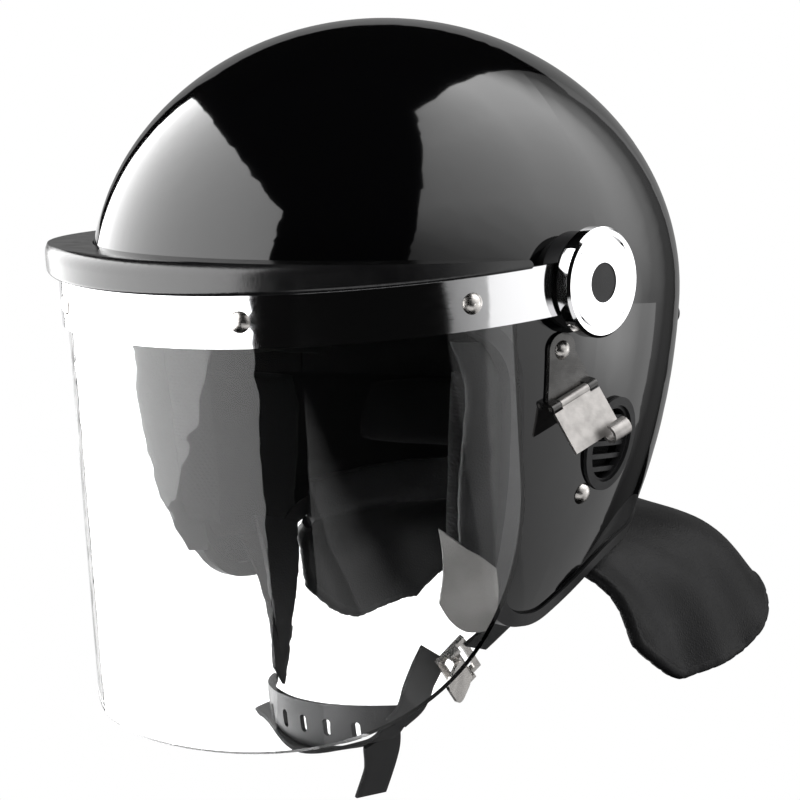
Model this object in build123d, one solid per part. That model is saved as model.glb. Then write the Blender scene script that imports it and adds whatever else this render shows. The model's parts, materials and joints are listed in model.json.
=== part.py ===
from build123d import *
import os
from math import cos, radians, sin, sqrt

# Police riot helmet: hard shell, hinged face shield, padded neck guard and chin harness.
# It is drawn about the shield's pivot line, facing -Y, with the wearer's left at +X.
# Each piece is then moved so that zero is the top of the wearer's head.

# Shell, as half sizes of its outside
SHELL_HALF_W = 122.0
SHELL_HALF_L = 149.0
CROWN_RISE = 122.0
SKIRT_DEPTH = 210.0
SHELL_WALL = 4.0
SHELL_BACK = 15.0
SHELL_DOWN = 10.0
# Side outline of the shell, from the pivot line
BROW_DROP = 20.0
BROW_CORNER_GAP = 96.0
BROW_CORNER_Y = SHELL_BACK - SHELL_HALF_L + BROW_CORNER_GAP
CHEEK_CORNER_Y = -12.0
LOBE_BACK_Y = 22.0
LOBE_DROP = 154.0
EAR_BACK_Y = 62.0
EAR_BACK_DROP = 124.0
NAPE_DROP = 103.0
BROW_CORNER_R = 30.0
CHEEK_CORNER_R = 28.0
LOBE_CORNER_R = 20.0
EAR_CORNER_R = 60.0
NAPE_PAST = 11.0
# Rubber edge trim
TRIM_LIP = 1.2
TRIM_DEPTH = 5.0
# Liner and pads
SEAT_GAP = 0.3
LINER_T = 20.0
LINER_BROW_DROP = 10.0
LINER_EAR_DROP = 58.0
LINER_EAR_Y = -22.0
LINER_SLIT = 1.0
LINER_PETALS = 8
CROWN_PAD_T = 12.0
CROWN_PAD_R = 48.0
BROW_PAD_T = 12.0
BROW_PAD_HALF_W = 72.0
BROW_PAD_RISE = 26.0
BROW_PAD_L = 7.0
BROW_PAD_BACK_Y = BROW_CORNER_Y - BROW_PAD_L
TEMPLE_PAD_T = 10.0
TEMPLE_PAD_FRONT_Y = -14.0
TEMPLE_PAD_BACK_Y = 66.0
TEMPLE_PAD_TOP = 16.0
TEMPLE_PAD_DROP = 50.0
NAPE_PAD_T = 24.0
NAPE_PAD_HALF_W = 70.0
NAPE_PAD_FRONT_Y = 70.0
NAPE_PAD_DROP = 92.0
NAPE_PAD_CHANNEL_W = 3.0
CHEEK_PAD_T = 26.0
CHEEK_PAD_HALF_L = 62.0
CHEEK_PAD_HALF_H = 64.0
CHEEK_PAD_Y = 16.0
CHEEK_PAD_DROP = 98.0
CHEEK_PAD_EDGE = 3.5
CHEEK_PAD_BACK_Y = 51.0
CHEEK_PAD_LOW_DROP = 138.0
# Face shield, a leaning oval cylinder
SHIELD_SIDE_GAP = 6.2
SHIELD_FRONT_GAP = 1.6
SHIELD_HALF_W = SHELL_HALF_W + SHIELD_SIDE_GAP
SHIELD_HALF_L = SHELL_HALF_L + SHIELD_FRONT_GAP
SHIELD_LEAN = 9.23
LENS_T = 3.0
LENS_DROP = 187.0
LENS_RISE = 8.0
LENS_BACK_Y = -41.0
LENS_CORNER_R = 108.0
BAND_HALF_H = 11.2
BAND_T = 1.5
SHIELD_FIT = 0.1
# Brow seal
SEAL_OUT = 4.5
SEAL_H = 14.0
SEAL_END_H = 4.0
SEAL_ROUND = 6.0
SEAL_BACK_Y = -38.0
SEAL_FLANGE_T = 1.4
SEAL_FLANGE_DROP = 8.0
SEAL_GAP = 0.5
# Band rivets
BAND_RIVET_ANGLES = (-65.0, -24.6, 24.6, 65.0)
BAND_RIVET_R = 2.0
BAND_RIVET_HEAD_R = 4.6
BAND_RIVET_HEAD_H = 2.0
WASHER_T = 0.8
WASHER_R = 5.0
RIVET_TAIL_H = 1.2
RIVET_TAIL_R = 3.4
# Pivot stack, outwards from the shell
PIVOT_BASE_R = 21.0
PIVOT_STAND_OFF = 3.0
PIVOT_BASE_TOP = SHELL_HALF_W + PIVOT_STAND_OFF
LUG_R = 13.0
LUG_T = 3.2
LUG_END_GAP = 0.15
BUSH_R = 6.0
BUSH_FIT = 0.05
SCREW_R = 3.0
SCREW_FIT = 0.1
SCREW_HEAD_R = 5.5
SCREW_HEAD_H = 2.5
CAP_R = 23.7
CAP_T = 6.6
CAP_FLOOR = 1.6
CAP_RIM_W = 3.2
CAP_GROOVE_D = 1.0
CAP_GROOVE_W = 1.2
CAP_CHAMFER = 1.2
PLUG_R = 8.5
PLUG_FIT = 0.08
PLUG_SINK = 0.4
NUT_R = 6.5
NUT_T = 4.0
NUT_GAP = 0.9
NUT_POCKET_R = 8.5
# Gas mask clips, on the wearer's left; the right one mirrors it
CLIP_TAB_Y = -8.4
CLIP_TAB_DROP = 29.6
CLIP_TAB_R = 7.4
CLIP_FRONT_Y = -13.0
CLIP_FRONT_DROP = 54.7
CLIP_BACK_Y = 11.5
CLIP_BACK_DROP = 43.3
CLIP_SHEET_T = 1.6
CLIP_AXIS_RISE = 3.8
CLIP_BARREL_R = 2.2
CLIP_PIN_R = 1.1
CLIP_PIN_FIT = 0.06
CLIP_END_KNUCKLE_W = 5.0
CLIP_KNUCKLE_GAP = 0.3
CLIP_PLATE_L = 22.0
CLIP_PLATE_T = 1.4
CLIP_PLATE_TILT = 28.0
CLIP_HOOK_W = 10.0
CLIP_HOOK_R = 4.2
CLIP_HOOK_T = 1.4
CLIP_RIVET_R = 2.0
CLIP_RIVET_HEAD_R = 4.2
CLIP_RIVET_HEAD_H = 2.2
# Ear vents
VENT_Y = 36.0
VENT_DROP = 72.0
VENT_HALF_L = 19.0
VENT_HALF_H = 21.0
VENT_RIM_W = 3.6
VENT_RIM_H = 1.8
VENT_HOLE_FIT = 0.2
VENT_SLATS = 5
VENT_SLAT_W = 2.2
# Harness anchors and rear studs
ANCHOR_Y = 23.1
ANCHOR_DROP = 94.0
ANCHOR_HEAD_R = 5.0
ANCHOR_HEAD_H = 2.6
ANCHOR_R = 2.2
REAR_STUD_ANGLE = 38.0
REAR_STUD_DROP = 18.0
# Webbing harness
WEB_W = 20.0
WEB_T = 1.8
WEB_GAP = 0.9
STRAP_TOP_DROP = 88.0
STRAP_WALL_DROP = 136.0
STRAP_KNEE_IN = 55.0
STRAP_KNEE_X = SHELL_HALF_W - STRAP_KNEE_IN
STRAP_KNEE_DROP = 159.0
STRAP_FALL_IN = 10.5
STRAP_FALL_X = STRAP_KNEE_X - STRAP_FALL_IN
STRAP_FALL_Y = 18.0
STRAP_FALL_DROP = 171.0
CUP_END_IN = 10.5
CUP_END_X = STRAP_FALL_X - CUP_END_IN
CUP_END_Y = -3.0
CUP_END_DROP = 195.0
# Buckle on the wearer's left strap, as a share of the run from the fall to the cup
BUCKLE_SHARE = 0.25
BUCKLE_W = 28.0
BUCKLE_H = 17.0
BUCKLE_T = 2.4
BUCKLE_RAIL = 3.0
BUCKLE_PIN_R = 1.2
LEVER_L = 15.0
LEVER_T = 1.6
LEVER_W = 21.0
LEVER_TILT = 22.0
# Chin cup
CUP_CURVE = 6.0
CUP_R = CUP_END_X + CUP_CURVE
CUP_T = 2.6
CUP_TOP_DROP = 198.0
CUP_BOTTOM_DROP = 219.0
CUP_HOLES = 5
CUP_HOLE_PITCH = 13.0
CUP_HOLE_W = 3.6
CUP_HOLE_H = 8.0
CHIN_WEB_DROP = 223.0
CHIN_WEB_Y = -20.0
CHIN_KNEE_X = 34.0
CHIN_KNEE_Y = 6.0
CHIN_WEB_BEHIND = 8.0
CHIN_KNEE_DROP = 214.0
TAIL_L = 25.0
TAIL_X = 25.0
TAIL_LEAN = 18.0
# Neck guard, a padded skirt that flares out below the rear rim
GUARD_T = 7.0
GUARD_TILT = 11.6
GUARD_TUCK = 20.0
GUARD_SIDE_IN = 37.0
GUARD_BACK_IN = 30.0
GUARD_FLARE_W = 23.0
GUARD_FLARE_L = 64.0
GUARD_TOP_FLAT = 1.0
GUARD_TOP_HALF_W = SHELL_HALF_W - GUARD_SIDE_IN
GUARD_TOP_BACK_Y = SHELL_BACK + SHELL_HALF_L - GUARD_BACK_IN
GUARD_TOP_R = GUARD_TOP_HALF_W - GUARD_TOP_FLAT
GUARD_HEM_HALF_W = GUARD_TOP_HALF_W + GUARD_FLARE_W
GUARD_HEM_BACK_Y = GUARD_TOP_BACK_Y + GUARD_FLARE_L
GUARD_HEM_R = 46.0
GUARD_HEM_DROP = 62.0
GUARD_FRONT_Y = 54.0
GUARD_FRONT_HEM_Y = 82.0
GUARD_RIM_DROP = 127.0
GUARD_LOW_DROP = 186.0
GUARD_TIP_DROP = 160.0
GUARD_HEM_CORNER_R = 22.0
# Top of the wearer's head, under the crown pad
SEAT_RISE = CROWN_RISE - SHELL_DOWN - SHELL_WALL - SEAT_GAP - LINER_T - SEAT_GAP - CROWN_PAD_T
# One overrun serves every cut
PAST = 60.0
SPAN = 2 * SHELL_HALF_L

LINER_OUT = SHELL_WALL + SEAT_GAP
LINER_IN = LINER_OUT + LINER_T
PAD_OUT = LINER_IN + SEAT_GAP


def egg(inset):
    """The shell's outside drawn in by an inset, as a solid."""
    wide, long = SHELL_HALF_W - inset, SHELL_HALF_L - inset
    top = scale(Solid.make_sphere(1, angle1=0, angle2=90), by=(wide, long, CROWN_RISE - inset))
    low = scale(Solid.make_sphere(1, angle1=-90, angle2=0), by=(wide, long, SKIRT_DEPTH - inset))
    return Pos(0, SHELL_BACK, -SHELL_DOWN) * (Part() + [top, low])


def layer(outer, inner):
    """The space between two insets of the shell's outside."""
    return egg(outer) - egg(inner)


def wall_x(y, z, inset=0.0):
    """Half width of the shell at a height and length, drawn in by an inset."""
    tall = (CROWN_RISE if z > -SHELL_DOWN else SKIRT_DEPTH) - inset
    part = 1 - ((y - SHELL_BACK) / (SHELL_HALF_L - inset)) ** 2 - ((z + SHELL_DOWN) / tall) ** 2
    return (SHELL_HALF_W - inset) * sqrt(part)


def wall_plane(y, z, inset=0.0):
    """A plane on the shell's left side, its Z pointing straight out of the surface."""
    x = wall_x(y, z, inset)
    tall = CROWN_RISE if z > -SHELL_DOWN else SKIRT_DEPTH
    out = Vector(x / SHELL_HALF_W**2, (y - SHELL_BACK) / SHELL_HALF_L**2, (z + SHELL_DOWN) / tall**2)
    return Plane(origin=(x, y, z), x_dir=Vector(0, 1, 0) - out * (out.Y / out.length**2), z_dir=out)


def side_prism(points, radii, half=SPAN):
    """A side outline of (y, z) corners with rounded corners, as a prism across the helmet."""
    face = Plane.YZ * make_face(FilletPolyline(*points, radius=radii, close=True))
    return extrude(face, amount=half, both=True)


def block(x0, x1, y0, y1, z0, z1):
    """A box between two corners."""
    middle = Pos((x0 + x1) / 2, (y0 + y1) / 2, (z0 + z1) / 2)
    return middle * Box(x1 - x0, y1 - y0, z1 - z0)


def rod(radius, start, length):
    """A rod along +X from a start."""
    return Pos(start, 0, 0) * Rot(0, 90, 0) * peg(radius, length)


def peg(radius, height, base=0.0):
    """A rod along +Z from a base height."""
    return Pos(0, 0, base) * Cylinder(radius, height, align=(Align.CENTER,) * 2 + (Align.MIN,))


def dome_head(radius, height):
    """A low domed rivet head that sits on z = 0."""
    ball = (radius**2 + height**2) / (2 * height)
    return (Pos(0, 0, height - ball) * Sphere(ball)) & peg(radius, height)


def ribbon(points, across, widths, thickness):
    """Flat webbing through points; each station has its own width and direction across."""
    faces = []
    for i, point in enumerate(points):
        here, back = Vector(point), Vector(points[max(i - 1, 0)])
        on = Vector(points[min(i + 1, len(points) - 1)])
        along = (on - back).normalized()
        side = Vector(across[i])
        side = (side - along * side.dot(along)).normalized()
        faces.append(Plane(origin=here, x_dir=side, z_dir=along) * Rectangle(widths[i], thickness))
    return loft(faces, ruled=True)


def rim_outline(grow=0.0):
    """The shell's side outline, grown or drawn in along the rim."""
    far_y, far_z = -SHELL_BACK - SPAN + grow, SPAN - grow
    back_y = SHELL_BACK + SHELL_HALF_L + NAPE_PAST
    points = [
        (far_y, -BROW_DROP - grow),
        (BROW_CORNER_Y - grow, -BROW_DROP - grow),
        (CHEEK_CORNER_Y - grow, -LOBE_DROP - grow),
        (LOBE_BACK_Y + grow / 2, -LOBE_DROP - grow),
        (EAR_BACK_Y + grow / 4, -EAR_BACK_DROP - grow),
        (far_z, -NAPE_DROP - grow + (far_z - back_y) * (EAR_BACK_DROP - NAPE_DROP) / (back_y - EAR_BACK_Y)),
        (far_z, far_z),
        (far_y, far_z),
    ]
    front_radii = [0, BROW_CORNER_R - grow, CHEEK_CORNER_R + grow]
    rear_radii = [LOBE_CORNER_R + grow, EAR_CORNER_R - grow, 0, 0, 0]
    return side_prism(points, front_radii + rear_radii, SPAN - grow)


def both_sides(name, piece):
    """A left piece and its mirror image."""
    return {name + "_left": piece, name + "_right": mirror(piece, about=Plane.YZ)}


def vent_oval(grow, wide=SPAN):
    """The vent's oval, grown by a margin, as a prism out of the left side."""
    face = Plane.YZ * Pos(VENT_Y, -VENT_DROP) * Ellipse(VENT_HALF_L + grow, VENT_HALF_H + grow)
    return extrude(face, amount=wide)


def shell_holes():
    """What passes through the shell: pivots, vents, clip rivets, anchors and rear studs."""
    left = rod(SCREW_R + SCREW_FIT, 0, SPAN) + vent_oval(VENT_HOLE_FIT - VENT_RIM_W)
    left += clip_rivet_plane() * peg(CLIP_RIVET_R + SCREW_FIT, PAST, -PAST / 2)
    left += anchor_plane() * peg(ANCHOR_R + SCREW_FIT, PAST, -PAST / 2)
    left += rear_stud_plane() * peg(ANCHOR_R + SCREW_FIT, PAST, -PAST / 2)
    return left + mirror(left, about=Plane.YZ)


def clip_rivet_plane():
    return wall_plane(CLIP_TAB_Y, -CLIP_TAB_DROP)


def anchor_plane():
    return wall_plane(ANCHOR_Y, -ANCHOR_DROP)


def rear_stud_plane():
    """A stud's seat on the rear left, at an angle round from straight back."""
    low = sqrt(1 - ((SHELL_DOWN - REAR_STUD_DROP) / SKIRT_DEPTH) ** 2)
    return wall_plane(SHELL_BACK + SHELL_HALF_L * cos(radians(REAR_STUD_ANGLE)) * low, -REAR_STUD_DROP)


def shell():
    return (layer(0, SHELL_WALL) & rim_outline()) - shell_holes()


def edge_trim():
    """A rubber channel that wraps the whole rim."""
    strip = rim_outline(TRIM_LIP) - rim_outline(-TRIM_DEPTH)
    return (layer(-TRIM_LIP, SHELL_WALL + TRIM_LIP) & strip) - (layer(0, SHELL_WALL) & rim_outline())


def liner_outline():
    far_y, far_z = -SHELL_BACK - SPAN, SPAN
    points = [(far_y, -LINER_BROW_DROP), (BROW_CORNER_Y, -LINER_BROW_DROP), (LINER_EAR_Y, -LINER_EAR_DROP),
              (SPAN, -LINER_EAR_DROP), (SPAN, far_z), (far_y, far_z)]
    return side_prism(points, [0, BROW_CORNER_R / 2, BROW_CORNER_R / 2, 0, 0, 0])


def liner_slits():
    """The cuts that part the foam into a crown disc and petals."""
    slits = [peg(CROWN_PAD_R + LINER_SLIT, SPAN) - peg(CROWN_PAD_R, SPAN)]
    for i in range(LINER_PETALS):
        cut = block(-LINER_SLIT / 2, LINER_SLIT / 2, CROWN_PAD_R, SPAN, -SPAN, SPAN)
        slits.append(Rot(0, 0, 360 * (i + 1 / 2) / LINER_PETALS) * cut)
    return [Pos(0, SHELL_BACK, 0) * slit for slit in slits]


def impact_liner():
    """The crushable foam cap in petals, pocketed round each pivot nut and rear stud."""
    foam = layer(LINER_OUT, LINER_IN) & liner_outline()
    for slit in liner_slits():
        foam = foam - slit
    pockets = [rod(NUT_POCKET_R, nut_start() - SEAT_GAP, PAST)]
    for seat in (clip_rivet_plane(), rear_stud_plane()):
        pockets.append(seat * peg(WASHER_R + SEAT_GAP, PAST, -PAST / 6))
    for pocket in pockets:
        foam = foam - pocket - mirror(pocket, about=Plane.YZ)
    return foam


def crown_pad():
    return layer(PAD_OUT, PAD_OUT + CROWN_PAD_T) & (Pos(0, SHELL_BACK, 0) * peg(CROWN_PAD_R, SPAN))


def brow_pad():
    space = block(-BROW_PAD_HALF_W, BROW_PAD_HALF_W, -SPAN, BROW_PAD_BACK_Y, -LINER_BROW_DROP, BROW_PAD_RISE)
    return layer(PAD_OUT, PAD_OUT + BROW_PAD_T) & space


def temple_pad():
    space = block(0, SPAN, TEMPLE_PAD_FRONT_Y, TEMPLE_PAD_BACK_Y, -TEMPLE_PAD_DROP, TEMPLE_PAD_TOP)
    return layer(PAD_OUT, PAD_OUT + TEMPLE_PAD_T) & space


def nape_pad():
    """A thick roll across the nape with upright channels sewn into it."""
    half, top = NAPE_PAD_HALF_W, -LINER_EAR_DROP - SEAT_GAP
    pad = layer(LINER_OUT + GUARD_T + 2 * SEAT_GAP, LINER_OUT + GUARD_T + NAPE_PAD_T)
    pad &= block(-half, half, NAPE_PAD_FRONT_Y, SPAN, -NAPE_PAD_DROP, top)
    deep = SHELL_BACK + SHELL_HALF_L - LINER_OUT - GUARD_T - NAPE_PAD_T + NAPE_PAD_CHANNEL_W
    for side in (-1, 1):
        groove = block(-NAPE_PAD_CHANNEL_W / 2, NAPE_PAD_CHANNEL_W / 2, -SPAN, deep, -SPAN, 0)
        pad -= Pos(side * half / 3, 0, 0) * groove
    return pad


def strap_channel():
    """The way kept open for the webbing behind a cheek pad."""
    half = WEB_W / 2 + WEB_GAP
    top = -STRAP_TOP_DROP + ANCHOR_HEAD_R + WEB_W / 4
    gap = layer(SHELL_WALL, SHELL_WALL + WEB_T + 2 * WEB_GAP + WASHER_T + RIVET_TAIL_H)
    return gap & block(0, SPAN, ANCHOR_Y - half, ANCHOR_Y + half, -SPAN, top)


def cheek_pad():
    """A pillow against the cheek, crowned inwards and thin at its edge."""
    z = -CHEEK_PAD_DROP
    pillow = scale(Solid.make_sphere(1), by=(CHEEK_PAD_T, CHEEK_PAD_HALF_L, CHEEK_PAD_HALF_H))
    pillow = Part() + (Pos(wall_x(CHEEK_PAD_Y, z, LINER_OUT), CHEEK_PAD_Y, z) * pillow)
    pad = pillow & egg(LINER_OUT) & rim_outline(-CHEEK_PAD_EDGE - TRIM_DEPTH / 2)
    pad &= block(0, SPAN, -SPAN, CHEEK_PAD_BACK_Y, -CHEEK_PAD_LOW_DROP, -LINER_EAR_DROP - SEAT_GAP)
    vent = layer(0, LINER_OUT + VENT_RIM_H + SEAT_GAP) & vent_oval(SEAT_GAP)
    return pad - strap_channel() - vent


def nut_start():
    return wall_x(0, 0, SHELL_WALL) - NUT_T - NUT_GAP


def lug_start():
    return PIVOT_BASE_TOP + LUG_END_GAP


def cap_start():
    return lug_start() + LUG_T + LUG_END_GAP


def pivot_base():
    """The boss that carries the shield's arm clear of the shell."""
    boss = rod(PIVOT_BASE_R, 0, PIVOT_BASE_TOP) - rod(SCREW_R + SCREW_FIT, 0, SPAN)
    return boss - egg(-SHIELD_FIT)


def pivot_bush():
    tube = rod(BUSH_R, PIVOT_BASE_TOP, cap_start() - PIVOT_BASE_TOP)
    return tube - rod(SCREW_R + SCREW_FIT, 0, SPAN)


def pivot_cap():
    """The bright disc over the pivot, with a raised rim and a pocket for its plug."""
    disc = rod(CAP_R, cap_start(), CAP_T)
    edge = disc.edges().filter_by(GeomType.CIRCLE).sort_by(Axis.X)[-1]
    disc = chamfer(edge, CAP_CHAMFER)
    face_x = cap_start() + CAP_T
    groove = rod(CAP_R - CAP_RIM_W, face_x - CAP_GROOVE_D, PAST)
    groove -= rod(CAP_R - CAP_RIM_W - CAP_GROOVE_W, 0, SPAN)
    pocket = rod(PLUG_R + PLUG_FIT, cap_start() + CAP_FLOOR, PAST)
    return disc - groove - pocket - rod(SCREW_R + SCREW_FIT, 0, SPAN)


def pivot_screw():
    head_x = cap_start() + CAP_FLOOR
    body = rod(SCREW_R, nut_start() - SEAT_GAP, head_x - nut_start() + SEAT_GAP)
    return body + rod(SCREW_HEAD_R, head_x, SCREW_HEAD_H)


def pivot_plug():
    base = cap_start() + CAP_FLOOR + SCREW_HEAD_H
    return rod(PLUG_R, base, cap_start() + CAP_T - PLUG_SINK - base)


def pivot_nut():
    hexagon = Plane.YZ * RegularPolygon(NUT_R, 6)
    return Pos(nut_start(), 0, 0) * extrude(hexagon, amount=NUT_T) - rod(SCREW_R + SCREW_FIT, 0, SPAN)


def oval(inset, low, high):
    """The shield's oval cylinder drawn in by an inset, between two heights."""
    return Pos(0, 0, low) * extrude(Ellipse(SHIELD_HALF_W - inset, SHIELD_HALF_L - inset), amount=high - low)


def leaned(piece):
    """A shield piece turned from upright to its rest lean."""
    return Rot(SHIELD_LEAN, 0, 0) * piece


def band_rivet_place(angle):
    """A seat on the band at an angle round from the front, its Z pointing out and its X aslant."""
    turn = radians(angle)
    x, y = SHIELD_HALF_W * sin(turn), -SHIELD_HALF_L * cos(turn)
    out = Vector(x / SHIELD_HALF_W**2, y / SHIELD_HALF_L**2, 0).normalized()
    return Plane(origin=(x, y, 0), x_dir=(-out.Y, out.X, 1), z_dir=out)


def riveted(piece):
    """An upright shield piece with the holes for the band's rivets, cut one by one."""
    for angle in BAND_RIVET_ANGLES:
        piece -= band_rivet_place(angle) * peg(BAND_RIVET_R + SCREW_FIT, PAST / 3, -PAST / 6)
    return piece


def front_half(back_y):
    return block(-SPAN, SPAN, -SPAN, back_y, -SPAN, SPAN)


def shield_band():
    """The bright band round the brow with an arm and a round lug at each pivot."""
    ring = oval(0, -BAND_HALF_H, BAND_HALF_H) - oval(BAND_T, -BAND_HALF_H, BAND_HALF_H)
    ring = riveted(ring & front_half(0))
    lug = rod(LUG_R, lug_start(), LUG_T)
    ring += lug + mirror(lug, about=Plane.YZ)
    return leaned(ring - rod(BUSH_R + BUSH_FIT, -SPAN, 2 * SPAN))


def lens_inset():
    return BAND_T + SEAL_FLANGE_T + 2 * SHIELD_FIT


def shield_lens():
    skin = oval(lens_inset(), -LENS_DROP, LENS_RISE) - oval(lens_inset() + LENS_T, -LENS_DROP, LENS_RISE)
    top = LENS_RISE + PAST
    points = [(-SPAN, top), (LENS_BACK_Y, top), (LENS_BACK_Y, -LENS_DROP), (-SPAN, -LENS_DROP)]
    return leaned(riveted(skin & side_prism(points, [0, 0, LENS_CORNER_R, 0])))


def brow_seal():
    """The rubber that fills the gap from band to shell and clears the shell as the shield lifts."""
    reach = SHIELD_HALF_L + SEAL_OUT
    low, high = BAND_HALF_H, BAND_HALF_H + SEAL_H
    corners = [(0, low), (reach, low), (reach, high), (0, high)]
    outline = FilletPolyline(*corners, radius=[0, SEAL_ROUND / 3, SEAL_ROUND, 0], close=True)
    roll = revolve(Plane.XZ * make_face(outline), Axis.Z)
    roll = scale(roll, by=((SHIELD_HALF_W + SEAL_OUT) / reach, 1, 1))
    skin = BAND_T + SHIELD_FIT
    flange = oval(skin, -SEAL_FLANGE_DROP, low) - oval(skin + SEAL_FLANGE_T, -SEAL_FLANGE_DROP, low)
    ends = [(-SPAN, -SPAN), (SEAL_BACK_Y, -SPAN), (SEAL_BACK_Y, low + SEAL_END_H),
            (-SHIELD_HALF_L, high + SEAL_GAP), (-SPAN, high + SEAL_GAP)]
    taper = side_prism(ends, [0, 0, SEAL_ROUND / 2, 0, 0])
    return leaned(riveted((Part() + [roll, flange]) & taper)) - egg(-SEAL_GAP)


def band_rivets():
    """Four rivets through band, seal and lens, each with a dome outside and a tail inside."""
    grip = lens_inset() + LENS_T + WASHER_T + 2 * SHIELD_FIT
    rivets = Part()
    for angle in BAND_RIVET_ANGLES:
        one = dome_head(BAND_RIVET_HEAD_R, BAND_RIVET_HEAD_H) + peg(BAND_RIVET_R, grip, -grip)
        one += peg(RIVET_TAIL_R, RIVET_TAIL_H, -grip - RIVET_TAIL_H)
        rivets += band_rivet_place(angle) * (Pos(0, 0, SHIELD_FIT) * one)
    return leaned(rivets)


def band_washers():
    washers = Part()
    ring = peg(WASHER_R, WASHER_T, -WASHER_T) - peg(BAND_RIVET_R + SCREW_FIT, PAST, -PAST / 2)
    for angle in BAND_RIVET_ANGLES:
        washers += band_rivet_place(angle) * (Pos(0, 0, -lens_inset() - LENS_T - SHIELD_FIT) * ring)
    return leaned(washers)


def clip_axis_ends():
    """Front and back ends of the clip's hinge line, standing off the shell."""
    ends = []
    for y, drop in ((CLIP_FRONT_Y, CLIP_FRONT_DROP), (CLIP_BACK_Y, CLIP_BACK_DROP)):
        seat = wall_plane(y, -drop)
        ends.append(seat.origin + seat.z_dir * CLIP_AXIS_RISE)
    return ends


def clip_place(tilt=0.0):
    """Hinge frame: X along the hinge line, Y down the plate, Z out of the plate."""
    front, back = clip_axis_ends()
    middle = (front + back) * 0.5
    out = wall_plane(middle.Y, middle.Z).z_dir
    along = (back - front).normalized()
    out = (out - along * out.dot(along)).normalized()
    return Plane(origin=middle, x_dir=-along, z_dir=out).location * Rot(tilt, 0, 0)


def clip_width():
    front, back = clip_axis_ends()
    return (back - front).length


def clip_base():
    """The riveted tab, its spreading arm and the two outer knuckles."""
    front, back = (CLIP_FRONT_Y, -CLIP_FRONT_DROP), (CLIP_BACK_Y, -CLIP_BACK_DROP)
    tab = Pos(CLIP_TAB_Y, -CLIP_TAB_DROP) * Circle(CLIP_TAB_R)
    tab_ends = [(CLIP_TAB_Y + side * CLIP_TAB_R, -CLIP_TAB_DROP) for side in (-1, 1)]
    arm = make_face(Polyline(*tab_ends, back, front, close=True))
    sheet = layer(-CLIP_SHEET_T - SHIELD_FIT, -SHIELD_FIT) & extrude(Plane.YZ * (tab + arm), amount=SPAN)
    half = clip_width() / 2
    middle = half - CLIP_END_KNUCKLE_W
    frame = clip_place()
    way = Cylinder(CLIP_BARREL_R + CLIP_KNUCKLE_GAP, 2 * (middle + CLIP_KNUCKLE_GAP))
    sheet -= frame * Rot(0, 90, 0) * way
    for side in (-1, 1):
        knuckle = Pos(side * (half - CLIP_END_KNUCKLE_W / 2), 0, 0) * Rot(0, 90, 0) * Cylinder(
            CLIP_BARREL_R, CLIP_END_KNUCKLE_W)
        web = Pos(side * (half - CLIP_END_KNUCKLE_W / 2), -CLIP_BARREL_R / 2, -CLIP_AXIS_RISE / 2) * Box(
            CLIP_END_KNUCKLE_W, CLIP_BARREL_R, CLIP_AXIS_RISE - SHIELD_FIT)
        sheet += frame * (knuckle + web)
    sheet -= egg(-SHIELD_FIT)
    sheet -= frame * (Rot(0, 90, 0) * Cylinder(CLIP_PIN_R + CLIP_PIN_FIT, 2 * half + PAST))
    return sheet - clip_rivet_plane() * peg(CLIP_RIVET_R + SCREW_FIT, PAST, -PAST / 2)


def clip_plate():
    """The square plate that stands off the shell, with a curled hook for the mask strap."""
    half = clip_width() / 2
    middle = half - CLIP_END_KNUCKLE_W - CLIP_KNUCKLE_GAP
    start = CLIP_BARREL_R + CLIP_KNUCKLE_GAP
    plate = block(-half, half, start, CLIP_PLATE_L, 0, CLIP_PLATE_T)
    leaf = block(-middle, middle, 0, start + CLIP_PLATE_T, 0, CLIP_PLATE_T)
    barrel = Rot(0, 90, 0) * Cylinder(CLIP_BARREL_R, 2 * middle)
    hook_x = -half + CLIP_HOOK_W / 2
    curl = Cylinder(CLIP_HOOK_R, CLIP_HOOK_W) - Cylinder(CLIP_HOOK_R - CLIP_HOOK_T, CLIP_HOOK_W)
    curl = Rot(0, 90, 0) * curl - block(-SPAN, SPAN, -SPAN, 0, -SPAN, CLIP_HOOK_R / 3)
    wide, low = CLIP_HOOK_W / 2, -CLIP_HOOK_R
    neck = block(-wide, wide, -CLIP_HOOK_T, CLIP_HOOK_R / 2, low, low + CLIP_HOOK_T)
    hook = Pos(hook_x, CLIP_PLATE_L, CLIP_HOOK_R) * (curl + neck)
    body = plate + leaf + barrel + hook
    bore = Rot(0, 90, 0) * Cylinder(CLIP_PIN_R + CLIP_PIN_FIT, SPAN)
    return clip_place(CLIP_PLATE_TILT) * (body - bore)


def clip_pin():
    return clip_place() * (Rot(0, 90, 0) * Cylinder(CLIP_PIN_R, clip_width()))


def clip_rivet():
    grip = SHELL_WALL + WASHER_T
    rivet = dome_head(CLIP_RIVET_HEAD_R, CLIP_RIVET_HEAD_H)
    rivet = Pos(0, 0, CLIP_SHEET_T + 2 * SHIELD_FIT) * rivet
    rivet += peg(CLIP_RIVET_R, grip + CLIP_SHEET_T + 2 * SHIELD_FIT, -grip)
    rivet += peg(RIVET_TAIL_R, RIVET_TAIL_H, -grip - RIVET_TAIL_H)
    return clip_rivet_plane() * rivet


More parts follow.
